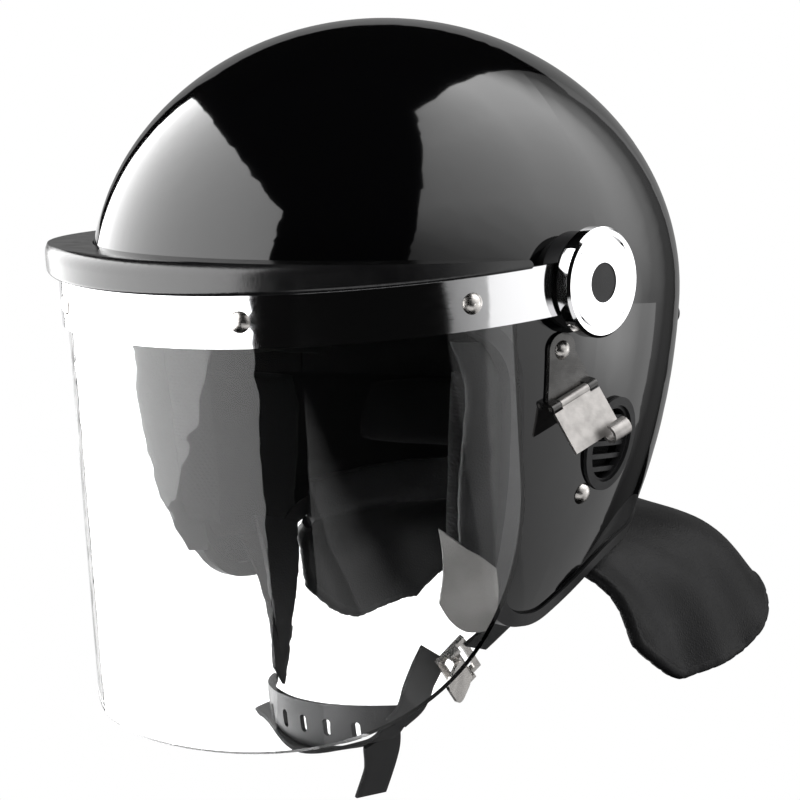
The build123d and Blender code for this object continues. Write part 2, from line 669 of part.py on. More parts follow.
def ear_vent():
    """An oval rim outside the shell, a sleeve through it and level slats across."""
    rim = layer(-VENT_RIM_H, -SHIELD_FIT) & vent_oval(0)
    rim -= vent_oval(-VENT_RIM_W - VENT_HOLE_FIT)
    sleeve = layer(-SHIELD_FIT * 2, SHELL_WALL) & vent_oval(-VENT_RIM_W)
    sleeve -= vent_oval(-VENT_RIM_W - CLIP_SHEET_T)
    bars = Part()
    pitch = 2 * (VENT_HALF_H - VENT_RIM_W) / (VENT_SLATS + 1)
    for i in range(VENT_SLATS):
        z = -VENT_DROP + pitch * (i - (VENT_SLATS - 1) / 2)
        bars += Pos(0, VENT_Y, z) * Box(2 * SPAN, 2 * VENT_HALF_L, VENT_SLAT_W)
    bars &= layer(SHELL_WALL / 4, SHELL_WALL) & vent_oval(-VENT_RIM_W - CLIP_SHEET_T / 2)
    return rim + sleeve + bars


def anchor_rivet():
    """A domed rivet that pins the webbing inside the shell."""
    grip = SHELL_WALL + WEB_T + 2 * WEB_GAP
    rivet = Pos(0, 0, SHIELD_FIT) * dome_head(ANCHOR_HEAD_R, ANCHOR_HEAD_H)
    rivet += peg(ANCHOR_R, grip + SHIELD_FIT, -grip)
    return anchor_plane() * (rivet + peg(RIVET_TAIL_R, WASHER_T, -grip - WASHER_T))


def rear_stud():
    """A small black rivet that pins the foam's headband at the rear."""
    grip = SHELL_WALL + SEAT_GAP
    stud = Pos(0, 0, SHIELD_FIT) * dome_head(ANCHOR_HEAD_R, ANCHOR_HEAD_H)
    stud += peg(ANCHOR_R, grip + SHIELD_FIT, -grip)
    return rear_stud_plane() * (stud + peg(RIVET_TAIL_R, RIVET_TAIL_H, -grip - RIVET_TAIL_H))


def strap_in():
    """Inset of the webbing's middle where it lies against the shell."""
    return SHELL_WALL + WEB_GAP + WEB_T / 2


def strap_points():
    """Stations of the left strap from its anchor to the chin cup."""
    top, wall = -STRAP_TOP_DROP, -STRAP_WALL_DROP
    return [
        (wall_x(ANCHOR_Y, top, strap_in()), ANCHOR_Y, top),
        (wall_x(ANCHOR_Y, (top + wall) / 2, strap_in()), ANCHOR_Y, (top + wall) / 2),
        (wall_x(ANCHOR_Y, wall, strap_in()), ANCHOR_Y, wall),
        (STRAP_KNEE_X, ANCHOR_Y, -STRAP_KNEE_DROP),
        (STRAP_FALL_X, STRAP_FALL_Y, -STRAP_FALL_DROP),
        (CUP_END_X, CUP_END_Y, -CUP_END_DROP),
    ]


def strap_ribbon(points, first_across, last_across, wall_stations=2):
    """A strap that turns its face from the cheek towards the chin."""
    last = len(points) - 1
    start, end = Vector(first_across), Vector(last_across)
    turns = [max(0, i - wall_stations) / max(1, last - wall_stations) for i in range(last + 1)]
    across = [start * (1 - turn) + end * turn for turn in turns]
    return ribbon(points, across, [WEB_W] * (last + 1), WEB_T)


def strap_right():
    strap = strap_ribbon(strap_points(), (0, 1, 0), (0, 1, 1))
    strap -= anchor_plane() * peg(ANCHOR_R + SCREW_FIT, PAST, -PAST / 2)
    return mirror(strap, about=Plane.YZ)


def buckle_plane():
    """The buckle lies in the run from the strap's fall to the cup: X across, Y up the strap."""
    fall, cup = Vector(strap_points()[-2]), Vector(strap_points()[-1])
    up = (fall - cup).normalized()
    across = Vector(0, 1, 0)
    across = (across - up * across.dot(up)).normalized()
    return Plane(origin=fall + (cup - fall) * BUCKLE_SHARE, x_dir=across, z_dir=across.cross(up))


def strap_upper_left():
    """The left strap down to the buckle's top rail."""
    up = buckle_plane().y_dir
    end = buckle_plane().origin + up * (BUCKLE_H / 2 + WEB_GAP / 2)
    points = [*strap_points()[:-2], tuple(end + up * WEB_W / 3), tuple(end)]
    strap = strap_ribbon(points, (0, 1, 0), tuple(buckle_plane().x_dir))
    return strap - anchor_plane() * peg(ANCHOR_R + SCREW_FIT, PAST, -PAST / 2)


def strap_lower_left():
    """The short web from the buckle to the cup."""
    up = buckle_plane().y_dir
    start = buckle_plane().origin - up * (BUCKLE_H / 2 + WEB_GAP / 2)
    return strap_ribbon([tuple(start), strap_points()[-1]], tuple(buckle_plane().x_dir), (0, 1, 1), 0)


def buckle_frame():
    """A slide frame with two side rails, a top rail, a bottom rail and a hinge bar seat."""
    frame = Box(BUCKLE_W, BUCKLE_H, BUCKLE_T)
    frame -= Box(BUCKLE_W - 2 * BUCKLE_RAIL, BUCKLE_H - 2 * BUCKLE_RAIL, BUCKLE_T)
    for side in (-1, 1):
        ear = Box(BUCKLE_RAIL, 2 * BUCKLE_RAIL, BUCKLE_T)
        frame += Pos(side * (BUCKLE_W - BUCKLE_RAIL) / 2, 0, BUCKLE_T) * ear
    frame -= Pos(0, 0, BUCKLE_T) * Rot(0, 90, 0) * Cylinder(BUCKLE_PIN_R + CLIP_PIN_FIT, SPAN)
    return buckle_plane() * frame


def buckle_pin():
    return buckle_plane() * (Pos(0, 0, BUCKLE_T) * Rot(0, 90, 0) * Cylinder(BUCKLE_PIN_R, BUCKLE_W))


def buckle_lever():
    """The rounded thumb plate that clamps the webbing."""
    plate = Pos(0, -LEVER_L / 2) * RectangleRounded(LEVER_W, LEVER_L, LEVER_L / 3)
    body = Pos(0, 0, BUCKLE_PIN_R) * extrude(plate, amount=LEVER_T)
    body += Rot(0, 90, 0) * Cylinder(2 * BUCKLE_PIN_R, LEVER_W)
    body -= Rot(0, 90, 0) * Cylinder(BUCKLE_PIN_R + CLIP_PIN_FIT, SPAN)
    return buckle_plane() * (Pos(0, 0, BUCKLE_T) * Rot(-LEVER_TILT, 0, 0) * body)


def cup_centre_y():
    return CUP_END_Y + sqrt(CUP_R**2 - CUP_END_X**2)


def cup_face():
    """The cup's crescent seen from the front."""
    left, right = (-CUP_END_X, -CUP_END_DROP), (CUP_END_X, -CUP_END_DROP)
    top = ThreePointArc(left, (0, -CUP_TOP_DROP), right)
    low = ThreePointArc(right, (0, -CUP_BOTTOM_DROP), left)
    return make_face([top, low])


def chin_cup():
    """A curved cup with a row of upright holes."""
    y = cup_centre_y()
    ball = Pos(0, y, -CUP_TOP_DROP) * (Sphere(CUP_R) - Sphere(CUP_R - CUP_T))
    cup = ball & extrude(Plane.XZ * cup_face(), amount=SPAN)
    for i in range(CUP_HOLES):
        x = CUP_HOLE_PITCH * (i - (CUP_HOLES - 1) / 2)
        hole = SlotOverall(CUP_HOLE_H, CUP_HOLE_W, rotation=90)
        cup -= extrude(Plane.XZ * Pos(x, -(CUP_TOP_DROP + CUP_BOTTOM_DROP) / 2) * hole, amount=SPAN)
    return cup & block(-CUP_END_X, CUP_END_X, -SPAN, CUP_END_Y, -SPAN, 0)


def chin_web_points():
    """Stations of the web under the cup, from side to side."""
    side = Vector(strap_points()[-1])
    run = (side - Vector(strap_points()[-2])).normalized()
    start = side + run * WEB_GAP + Vector(0, CHIN_WEB_BEHIND, 0)
    knee = (CHIN_KNEE_X, CHIN_KNEE_Y, -CHIN_KNEE_DROP)
    half = [(start.X, start.Y, start.Z), knee, (0, CHIN_WEB_Y, -CHIN_WEB_DROP)]
    return half + [(-x, y, z) for x, y, z in half[-2::-1]]


def chin_web():
    """The web that passes under the cup from side to side."""
    across = [(0, 1, 1), (0, 1, 0), (0, 1, 0), (0, 1, 0), (0, 1, 1)]
    return ribbon(chin_web_points(), across, [WEB_W] * len(across), WEB_T)


def strap_tail():
    """The loose end of the chin web, hanging from its underside."""
    knee, middle = chin_web_points()[1:3]
    share = (TAIL_X - middle[0]) / (knee[0] - middle[0])
    y, z = (middle[i] + (knee[i] - middle[i]) * share for i in (1, 2))
    turn = radians(TAIL_LEAN)
    top = z - WEB_T - SEAT_GAP
    end = (TAIL_X - TAIL_L * sin(turn), y, top - TAIL_L * cos(turn))
    return ribbon([(TAIL_X, y, top), end], [(0, 1, 0)] * 2, [WEB_W] * 2, WEB_T)


def guard_plane(drop):
    """A plane level with the rear rim, which rises towards the back, dropped by a distance."""
    slope = radians(GUARD_TILT)
    return Plane(origin=(0, 0, -GUARD_RIM_DROP - EAR_BACK_Y * sin(slope) / cos(slope) - drop),
                 x_dir=(1, 0, 0), z_dir=(0, -sin(slope), cos(slope)))


def guard_section(drop, half_w, back_y, corner, inset):
    """One level of the guard: straight sides, round rear corners, closed at the front."""
    w, b, r = half_w - inset, back_y - inset, corner - inset
    front = inset
    outline = FilletPolyline((-w, front), (w, front), (w, b), (-w, b), radius=[0, 0, r, r], close=True)
    return guard_plane(drop) * make_face(outline)


def guard_body(inset, past):
    """The guard's flared outside drawn in by an inset."""
    levels = [
        (-GUARD_TUCK - past, GUARD_TOP_HALF_W, GUARD_TOP_BACK_Y, GUARD_TOP_R),
        (0, GUARD_TOP_HALF_W, GUARD_TOP_BACK_Y, GUARD_TOP_R),
        (GUARD_HEM_DROP, GUARD_HEM_HALF_W, GUARD_HEM_BACK_Y, GUARD_HEM_R),
    ]
    return loft([guard_section(*level, inset) for level in levels], ruled=True)


def neck_guard():
    body = guard_body(0, 0) - guard_body(GUARD_T, GUARD_T)
    back = GUARD_HEM_BACK_Y + PAST
    keep = side_prism([
        (GUARD_FRONT_Y, 0), (GUARD_FRONT_Y, -GUARD_RIM_DROP), (GUARD_FRONT_HEM_Y, -GUARD_LOW_DROP),
        (GUARD_HEM_BACK_Y - GUARD_HEM_R / 2, -GUARD_LOW_DROP), (back, -GUARD_TIP_DROP), (back, 0),
    ], [0, GUARD_HEM_CORNER_R, GUARD_HEM_CORNER_R, GUARD_HEM_CORNER_R, 0, 0])
    return body & keep


def pieces():
    """Every sub-part by name."""
    made = {
        "shell": shell(),
        "edge_trim": edge_trim(),
        "impact_liner": impact_liner(),
        "crown_pad": crown_pad(),
        "brow_pad": brow_pad(),
        "nape_pad": nape_pad(),
        "shield_band": shield_band(),
        "shield_lens": shield_lens(),
        "brow_seal": brow_seal(),
        "band_rivets": band_rivets(),
        "band_washers": band_washers(),
        "strap_right": strap_right(),
        "strap_upper_left": strap_upper_left(),
        "strap_lower_left": strap_lower_left(),
        "buckle_frame": buckle_frame(),
        "buckle_pin": buckle_pin(),
        "buckle_lever": buckle_lever(),
        "chin_cup": chin_cup(),
        "chin_web": chin_web(),
        "strap_tail": strap_tail(),
        "neck_guard": neck_guard(),
    }
    paired = {
        "temple_pad": temple_pad, "cheek_pad": cheek_pad, "pivot_base": pivot_base, "pivot_bush": pivot_bush,
        "pivot_cap": pivot_cap, "pivot_screw": pivot_screw, "pivot_plug": pivot_plug, "pivot_nut": pivot_nut,
        "clip_base": clip_base, "clip_plate": clip_plate, "clip_pin": clip_pin, "clip_rivet": clip_rivet,
        "ear_vent": ear_vent, "anchor_rivet": anchor_rivet, "rear_stud": rear_stud,
    }
    for name, make in paired.items():
        made.update(both_sides(name, make()))
    return made


def main():
    os.makedirs("parts", exist_ok=True)
    for name, piece in pieces().items():
        moved = Pos(0, -SHELL_BACK, -SEAT_RISE) * piece
        export_step(moved, "parts/" + name + ".step")
    print("head seat above the pivot line", SEAT_RISE)


main()
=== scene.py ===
# %% [markdown]
# # A riot helmet with a clear face shield
# The helmet was first drawn as solids in a CAD program and packed as a frame of named nodes.
# This lesson dresses that frame: hard parts keep their solids and get a finish, and soft parts
# such as pads, webbing and the leather neck guard are modelled again here.
# Loading comes first, because every other piece is placed against the frame.

# %% Load the frame
import json
import math

import bpy
from mathutils import Matrix, Vector

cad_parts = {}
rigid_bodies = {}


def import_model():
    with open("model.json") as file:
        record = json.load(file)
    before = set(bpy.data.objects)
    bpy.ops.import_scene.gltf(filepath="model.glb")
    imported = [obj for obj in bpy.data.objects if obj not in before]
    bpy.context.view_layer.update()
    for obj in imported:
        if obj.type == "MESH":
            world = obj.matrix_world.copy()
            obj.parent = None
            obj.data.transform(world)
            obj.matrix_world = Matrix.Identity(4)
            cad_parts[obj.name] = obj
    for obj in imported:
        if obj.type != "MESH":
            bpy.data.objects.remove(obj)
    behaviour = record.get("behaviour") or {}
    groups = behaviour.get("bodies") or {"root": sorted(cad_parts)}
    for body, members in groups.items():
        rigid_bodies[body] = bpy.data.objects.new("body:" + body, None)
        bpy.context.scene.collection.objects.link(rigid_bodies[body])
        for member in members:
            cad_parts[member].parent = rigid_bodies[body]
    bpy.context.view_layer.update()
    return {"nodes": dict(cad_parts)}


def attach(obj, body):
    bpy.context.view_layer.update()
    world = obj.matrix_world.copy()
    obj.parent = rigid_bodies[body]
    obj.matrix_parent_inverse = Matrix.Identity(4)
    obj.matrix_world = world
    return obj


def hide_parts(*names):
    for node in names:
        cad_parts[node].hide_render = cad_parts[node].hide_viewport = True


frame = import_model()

print("nodes in the frame:", len(frame["nodes"]))

# %% [markdown]
# The helmet was drawn about the line through the shield's two pivots, in millimetres, and then
# moved so that zero is the top of the wearer's head. One small helper turns a place measured from
# the pivot line into metres in the frame, so that every number below can be checked on a ruler.

# %% Places measured from the pivot line
SHELL_BACK = 15.0
SEAT_RISE = 75.4


def place(x, y, z):
    """Millimetres from the pivot line, as metres in the frame."""
    return Vector((x, y - SHELL_BACK, z - SEAT_RISE)) / 1000


print("the pivot line is at", place(0, 0, 0))

# %% [markdown]
# Most finishes here start from the same shader. The helper makes a material whose shader is set by
# its own sockets, so that the exported model keeps them. A second helper hangs a fine bump on it,
# read from Object coordinates, because the solids carry no picture map.

# %% Material helpers
def finish(name, colour, roughness, **sockets):
    """A new material with its shader set, and its node tree."""
    material = bpy.data.materials.new(name)
    material.use_nodes = True
    tree = material.node_tree
    shader = tree.nodes["Principled BSDF"]
    shader.inputs["Base Color"].default_value = (*colour, 1)
    shader.inputs["Roughness"].default_value = roughness
    for socket, value in sockets.items():
        shader.inputs[socket.replace("_", " ").title().replace("Ior", "IOR")].default_value = value
    return material, tree, shader


def stretched(tree, source, scale):
    """One output of the texture coordinates, stretched by a scale."""
    coordinates = tree.nodes.new("ShaderNodeTexCoord")
    mapping = tree.nodes.new("ShaderNodeMapping")
    mapping.inputs["Scale"].default_value = scale
    tree.links.new(coordinates.outputs[source], mapping.inputs["Vector"])
    return mapping.outputs["Vector"]


def object_places(tree, scale=(1, 1, 1)):
    """Object coordinates, stretched by a scale."""
    return stretched(tree, "Object", scale)


def noise(tree, vector, scale, detail):
    """Cloudy noise from 0 to 1, read at a vector."""
    texture = tree.nodes.new("ShaderNodeTexNoise")
    texture.inputs["Scale"].default_value = scale
    texture.inputs["Detail"].default_value = detail
    tree.links.new(vector, texture.inputs["Vector"])
    return texture.outputs["Fac"]


def bump(tree, shader, height, strength, distance):
    """Adds a bump to the shader, on top of any bump that is there."""
    node = tree.nodes.new("ShaderNodeBump")
    node.inputs["Strength"].default_value = strength
    node.inputs["Distance"].default_value = distance
    tree.links.new(height, node.inputs["Height"])
    if shader.inputs["Normal"].is_linked:
        tree.links.new(shader.inputs["Normal"].links[0].from_socket, node.inputs["Normal"])
    tree.links.new(node.outputs["Normal"], shader.inputs["Normal"])


def spread(tree, value, low, high):
    """A value from 0 to 1 spread between two numbers."""
    node = tree.nodes.new("ShaderNodeMapRange")
    node.inputs["To Min"].default_value = low
    node.inputs["To Max"].default_value = high
    tree.links.new(value, node.inputs["Value"])
    return node.outputs["Result"]


def two_tones(tree, shader, value, dark, light, low=0.35, high=0.65):
    """Colours the shader between two tones by a value."""
    ramp = tree.nodes.new("ShaderNodeValToRGB")
    ramp.color_ramp.elements[0].position = low
    ramp.color_ramp.elements[1].position = high
    ramp.color_ramp.elements[0].color = (*dark, 1)
    ramp.color_ramp.elements[1].color = (*light, 1)
    tree.links.new(value, ramp.inputs["Fac"])
    tree.links.new(ramp.outputs["Color"], shader.inputs["Base Color"])


def calculated(tree, operation, *operands, clamp=False):
    """The result of a math node; each operand is an output to link or a plain number."""
    node = tree.nodes.new("ShaderNodeMath")
    node.operation = operation
    node.use_clamp = clamp
    for socket, operand in zip(node.inputs, operands):
        if isinstance(operand, bpy.types.NodeSocket):
            tree.links.new(operand, socket)
        else:
            socket.default_value = operand
    return node.outputs["Value"]


def mixed(tree, factor, first, second):
    """Two shaders mixed: the first where the factor is 0, the second where it is 1."""
    node = tree.nodes.new("ShaderNodeMixShader")
    tree.links.new(factor, node.inputs["Fac"])
    tree.links.new(first, node.inputs[1])
    tree.links.new(second, node.inputs[2])
    return node.outputs["Shader"]


# %% [markdown]
# ## Hard finishes
# The shell is moulded plastic under glossy black paint. Such paint is never quite flat: a slow
# ripple, called orange peel, bends the edges of reflections a little, and fine handling haze dulls
# it in places. Both come from noise, one as a bump and one in the roughness.

# %% Black shell paint
def make_shell_paint():
    material, tree, shader = finish("gloss_black_paint", (0.0015, 0.0015, 0.0018), 0.06, coat_weight=0.3,
                                    coat_roughness=0.02)
    where = object_places(tree)
    bump(tree, shader, noise(tree, where, 26.0, 1.0), strength=0.002, distance=0.001)
    haze = noise(tree, where, 9.0, 6.0)
    tree.links.new(spread(tree, haze, 0.03, 0.085), shader.inputs["Roughness"])
    return material


shell_paint = make_shell_paint()

# %% [markdown]
# The band and the pivot caps are polished metal. Polishing leaves hair lines along the way the
# wheel turned, so the roughness is read from noise that is stretched flat.

# %% Bright metal, steel and black metal
def make_bright_metal():
    material, tree, shader = finish("polished_metal", (0.93, 0.93, 0.94), 0.05, metallic=1.0)
    lines = noise(tree, object_places(tree, (60, 60, 900)), 3.0, 5.0)
    tree.links.new(spread(tree, lines, 0.02, 0.11), shader.inputs["Roughness"])
    bump(tree, shader, lines, strength=0.03, distance=0.0002)
    return material


def make_steel(name, colour, low, high):
    """Brushed or tumbled steel with fine scratches and cloudy handling marks."""
    material, tree, shader = finish(name, colour, low, metallic=1.0)
    scratches = noise(tree, object_places(tree, (900, 80, 900)), 2.0, 6.0)
    tree.links.new(spread(tree, scratches, low, high), shader.inputs["Roughness"])
    bump(tree, shader, scratches, strength=0.12, distance=0.0003)
    clouds = noise(tree, object_places(tree), 160.0, 4.0)
    two_tones(tree, shader, clouds, tuple(0.72 * part for part in colour), colour)
    return material


bright_metal = make_bright_metal()
steel = make_steel("brushed_steel", (0.78, 0.75, 0.72), 0.16, 0.36)
plate_steel = make_steel("tumbled_steel", (0.50, 0.48, 0.465), 0.3, 0.5)
arm_steel = make_steel("dark_steel", (0.11, 0.108, 0.106), 0.18, 0.34)
black_metal = make_steel("black_stud_metal", (0.03, 0.03, 0.03), 0.25, 0.4)

# %% [markdown]
# The shield is clear polycarbonate. It is a solid plate, so real refraction is used. Handling
# leaves faint hair marks that run round it, which are read from noise stretched flat.

# %% Clear shield
def make_clear_sheet():
    material, tree, shader = finish("clear_polycarbonate", (0.985, 0.99, 0.992), 0.0,
                                    transmission_weight=1.0, ior=1.5)
    marks = noise(tree, object_places(tree, (1, 1, 12)), 90.0, 8.0)
    tree.links.new(spread(tree, marks, 0.0, 0.03), shader.inputs["Roughness"])
    return material


clear_sheet = make_clear_sheet()

# %% [markdown]
# ## Soft and moulded finishes
# Rubber has a dull, slightly open skin. Moulded plastic has a finer, even grain. Both are a bump of
# small noise, with the colour drifting a little where hands and dust have been.

# %% Rubber, plastic and foam
def make_grained(name, dark, light, roughness, grain, strength, **sockets):
    """A dull moulded finish with a grain of a given size."""
    material, tree, shader = finish(name, light, roughness, **sockets)
    where = object_places(tree)
    two_tones(tree, shader, noise(tree, where, 55.0, 5.0), dark, light)
    bump(tree, shader, noise(tree, where, grain, 4.0), strength, distance=0.0006)
    tree.links.new(spread(tree, noise(tree, where, 120.0, 3.0), roughness - 0.08, roughness + 0.1),
                   shader.inputs["Roughness"])
    return material


seal_rubber = make_grained("brow_seal_rubber", (0.004, 0.004, 0.0045), (0.008, 0.008, 0.0085),
                           roughness=0.2, grain=1400, strength=0.08, specular_ior_level=0.9)
trim_rubber = make_grained("edge_trim_rubber", (0.014, 0.014, 0.015), (0.024, 0.024, 0.025),
                           roughness=0.34, grain=900, strength=0.15)
black_plastic = make_grained("moulded_black_plastic", (0.012, 0.012, 0.013), (0.022, 0.022, 0.023),
                             roughness=0.42, grain=1700, strength=0.25, specular_ior_level=0.25)
cup_rubber = make_grained("chin_cup_rubber", (0.016, 0.016, 0.017), (0.035, 0.035, 0.037),
                          roughness=0.4, grain=1300, strength=0.3)
liner_foam = make_grained("crushable_foam", (0.002, 0.002, 0.0022), (0.006, 0.006, 0.0065),
                          roughness=0.8, grain=420, strength=0.9, specular_ior_level=0.1)
nylon = make_grained("pale_nylon", (0.62, 0.61, 0.58), (0.74, 0.73, 0.7),
                     roughness=0.45, grain=1500, strength=0.1)

# %% [markdown]
# The neck guard is black leather cloth. Leather shows cells divided by fine creases, so its bump is
# the distance to the edges of a cell pattern, with wider, softer wrinkles over it.

# %% Leather
def cells(tree, vector, scale):
    """The distance to the nearest edge of a cell pattern."""
    texture = tree.nodes.new("ShaderNodeTexVoronoi")
    texture.feature = "DISTANCE_TO_EDGE"
    texture.inputs["Scale"].default_value = scale
    tree.links.new(vector, texture.inputs["Vector"])
    return texture.outputs["Distance"]


def make_leather(name, dark, light, roughness, shine):
    """Leather cloth: fine creased cells under soft wrinkles."""
    material, tree, shader = finish(name, light, roughness, specular_ior_level=shine)
    where = object_places(tree)
    two_tones(tree, shader, noise(tree, where, 30.0, 5.0), dark, light)
    bump(tree, shader, spread(tree, cells(tree, where, 700.0), 0.0, 3.0), strength=0.28, distance=0.0003)
    bump(tree, shader, noise(tree, where, 60.0, 5.0), strength=0.22, distance=0.0018)
    tree.links.new(spread(tree, noise(tree, where, 45.0, 4.0), roughness - 0.1, roughness + 0.14),
                   shader.inputs["Roughness"])
    return material


guard_leather = make_leather("guard_leather", (0.004, 0.004, 0.0044), (0.008, 0.008, 0.0088),
                             roughness=0.38, shine=0.12)
roll_leather = make_leather("edge_roll_leather", (0.012, 0.012, 0.0125), (0.024, 0.024, 0.025),
                            roughness=0.45, shine=0.25)
flap_leather = make_leather("flap_leather", (0.17, 0.165, 0.16), (0.27, 0.262, 0.255),
                            roughness=0.6, shine=0.3)

# %% [markdown]
# Pads are covered in a brushed knit. A wave each way gives the loops, and sheen on the shader gives
# the soft pale edge that such cloth shows where it turns away.

# %% Pad cloth and webbing
def waves(tree, vector, scale, direction):
    """Slightly bent stripes from 0 to 1."""
    texture = tree.nodes.new("ShaderNodeTexWave")
    texture.bands_direction = direction
    texture.inputs["Scale"].default_value = scale
    texture.inputs["Distortion"].default_value = 0.6
    texture.inputs["Detail"].default_value = 1.0
    tree.links.new(vector, texture.inputs["Vector"])
    return texture.outputs["Fac"]


def make_cloth(name, dark, light, loops, sheen):
    """A brushed knit with loops of a given size."""
    material, tree, shader = finish(name, light, 0.88, sheen_weight=sheen, sheen_roughness=0.45,
                                    specular_ior_level=0.12)
    where = object_places(tree)
    slanted, level = waves(tree, where, loops, "DIAGONAL"), waves(tree, where, loops, "Z")
    weave = calculated(tree, "MULTIPLY", slanted, level)
    two_tones(tree, shader, weave, dark, light, 0.05, 0.6)
    bump(tree, shader, weave, strength=0.5, distance=0.0005)
    bump(tree, shader, noise(tree, where, 900.0, 4.0), strength=0.3, distance=0.0004)
    return material


def make_webbing():
    """Flat woven strap: ribs along it and picks across it, read from the strap's own map."""
    material, tree, shader = finish("woven_webbing", (0.02, 0.02, 0.021), 0.7, sheen_weight=0.08,
                                    specular_ior_level=0.2)
    own_map = stretched(tree, "UV", (1, 1, 1))
    weave = calculated(tree, "MULTIPLY", waves(tree, own_map, 11.0, "X"), waves(tree, own_map, 60.0, "Y"))
    two_tones(tree, shader, weave, (0.007, 0.007, 0.0075), (0.034, 0.034, 0.036), 0.05, 0.7)
    bump(tree, shader, weave, strength=0.6, distance=0.0006)
    return material


# The pads are black cloth, and their colour is set darker still, near to no colour, as painted shade for
# the dark inside of the shell.
pad_cloth_with_painted_shade = make_cloth("brushed_pad_cloth_painted_shade", (0.0015, 0.0015, 0.0018), (0.005, 0.005, 0.0055),
                       loops=420.0, sheen=0.03)
knit_cloth = make_cloth("open_knit_cloth", (0.002, 0.002, 0.0022), (0.016, 0.016, 0.017),
                        loops=190.0, sheen=0.04)
webbing = make_webbing()
print("materials made:", len(bpy.data.materials))

# %% [markdown]
# ## Hard nodes get their finish
# A node's shape stays as it was packed, so only the material in its slot changes. The vents, bushes
# and nuts are black plastic, nylon and steel, as on the real helmet. The mask clips' plates are
# tumbled pale, and the arms behind them are dark.

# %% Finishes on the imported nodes
node_finish = {
    "shell": shell_paint, "edge_trim": trim_rubber, "impact_liner": liner_foam,
    "shield_band": bright_metal, "shield_lens": clear_sheet, "brow_seal": seal_rubber,
    "band_rivets": steel, "band_washers": steel,
    "buckle_frame": steel, "buckle_pin": steel, "buckle_lever": steel, "chin_cup": cup_rubber,
}
paired_finish = {
    "pivot_base": black_plastic, "pivot_bush": nylon, "pivot_cap": bright_metal, "pivot_screw": steel,
    "pivot_plug": black_plastic, "pivot_nut": steel, "clip_base": arm_steel, "clip_plate": plate_steel,
    "clip_pin": steel, "clip_rivet": steel, "ear_vent": black_plastic, "anchor_rivet": steel,
    "rear_stud": black_metal,
}
for name, material in paired_finish.items():
    node_finish[name + "_left"] = material
    node_finish[name + "_right"] = material
for name, material in node_finish.items():
    node = frame["nodes"][name]
    if not node.material_slots:
        node.data.materials.append(material)
    for slot in node.material_slots:
        slot.material = material
print("nodes finished:", len(node_finish))

# %% [markdown]
# ## Helpers for soft pieces
# A soft piece starts from a copy of its node or from a flat grid. Operators act on whatever is
# selected, so each helper first clears the selection and picks its own piece.

# %% Selection, copies and modifiers
def pick(piece):
    """Makes a piece the only selected and active object."""
    if bpy.context.object and bpy.context.object.mode != "OBJECT":
        bpy.ops.object.mode_set(mode="OBJECT")
    bpy.ops.object.select_all(action="DESELECT")
    piece.select_set(True)
    bpy.context.view_layer.objects.active = piece


def applied(piece, kind, **settings):
    """Adds a modifier with its settings and applies it."""
    pick(piece)
    modifier = piece.modifiers.new(kind.title(), kind)
    for setting, value in settings.items():
        setattr(modifier, setting, value)
    bpy.ops.object.modifier_apply(modifier=modifier.name)


def merged_copy(node_name, name):
    """A node's mesh as a new piece, its loose triangles joined up."""
    node = frame["nodes"][node_name]
    piece = bpy.data.objects.new(name, node.data.copy())
    bpy.context.scene.collection.objects.link(piece)
    piece.matrix_world = node.matrix_world.copy()
    pick(piece)
    bpy.ops.object.parent_clear(type="CLEAR_KEEP_TRANSFORM")
    bpy.ops.object.transform_apply(location=True, rotation=True, scale=True)
    bpy.ops.object.mode_set(mode="EDIT")
    bpy.ops.mesh.select_all(action="SELECT")
    bpy.ops.mesh.remove_doubles(threshold=0.00002)
    bpy.ops.object.mode_set(mode="OBJECT")
    return piece


def shaped_grid(name, across, along, where):
    """A flat grid whose corners are moved to where(u, v); its map keeps u and v."""
    bpy.ops.object.select_all(action="DESELECT")
    bpy.ops.mesh.primitive_grid_add(x_subdivisions=across, y_subdivisions=along, size=1)
    piece = bpy.context.object
    piece.name = name
    for vertex in piece.data.vertices:
        vertex.co = where(vertex.co.x + 0.5, vertex.co.y + 0.5)
    piece.data.update()
    return piece


def thickened(piece, thick, rim=0.0, rim_segments=2, rim_angle=50):
    """Gives a sheet its thickness and, where rim is given, a rounded edge; both in metres."""
    applied(piece, "SOLIDIFY", thickness=thick, offset=0.0, use_even_offset=True)
    if rim:
        applied(piece, "BEVEL", width=rim, segments=rim_segments, angle_limit=math.radians(rim_angle))
    return piece


def dressed(piece, material, body="helmet", stands_for=(), smooth=40):
    """Gives a piece its finish and the body that it rides on."""
    pick(piece)
    piece.data.materials.clear()
    piece.data.materials.append(material)
    bpy.ops.object.shade_smooth_by_angle(angle=math.radians(smooth))
    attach(piece, body)
    if stands_for:
        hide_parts(*stands_for)
    print(piece.name, "has", len(piece.data.vertices), "points")
    return piece


# %% [markdown]
# ## Pads
# The real pads are foam in sewn cloth, so they bulge between their edges. Each starts from its own
# node, drawn in a little, and is meshed evenly. Air pressure in a cloth simulation then swells it,
# and no point may move further than a cap, so that a pad stays in the room its node holds.

# %% Swell a pad
PAD_PRESSURE = 4.0
CLOTH_QUALITY = 6
CLOTH_FRAMES = 20


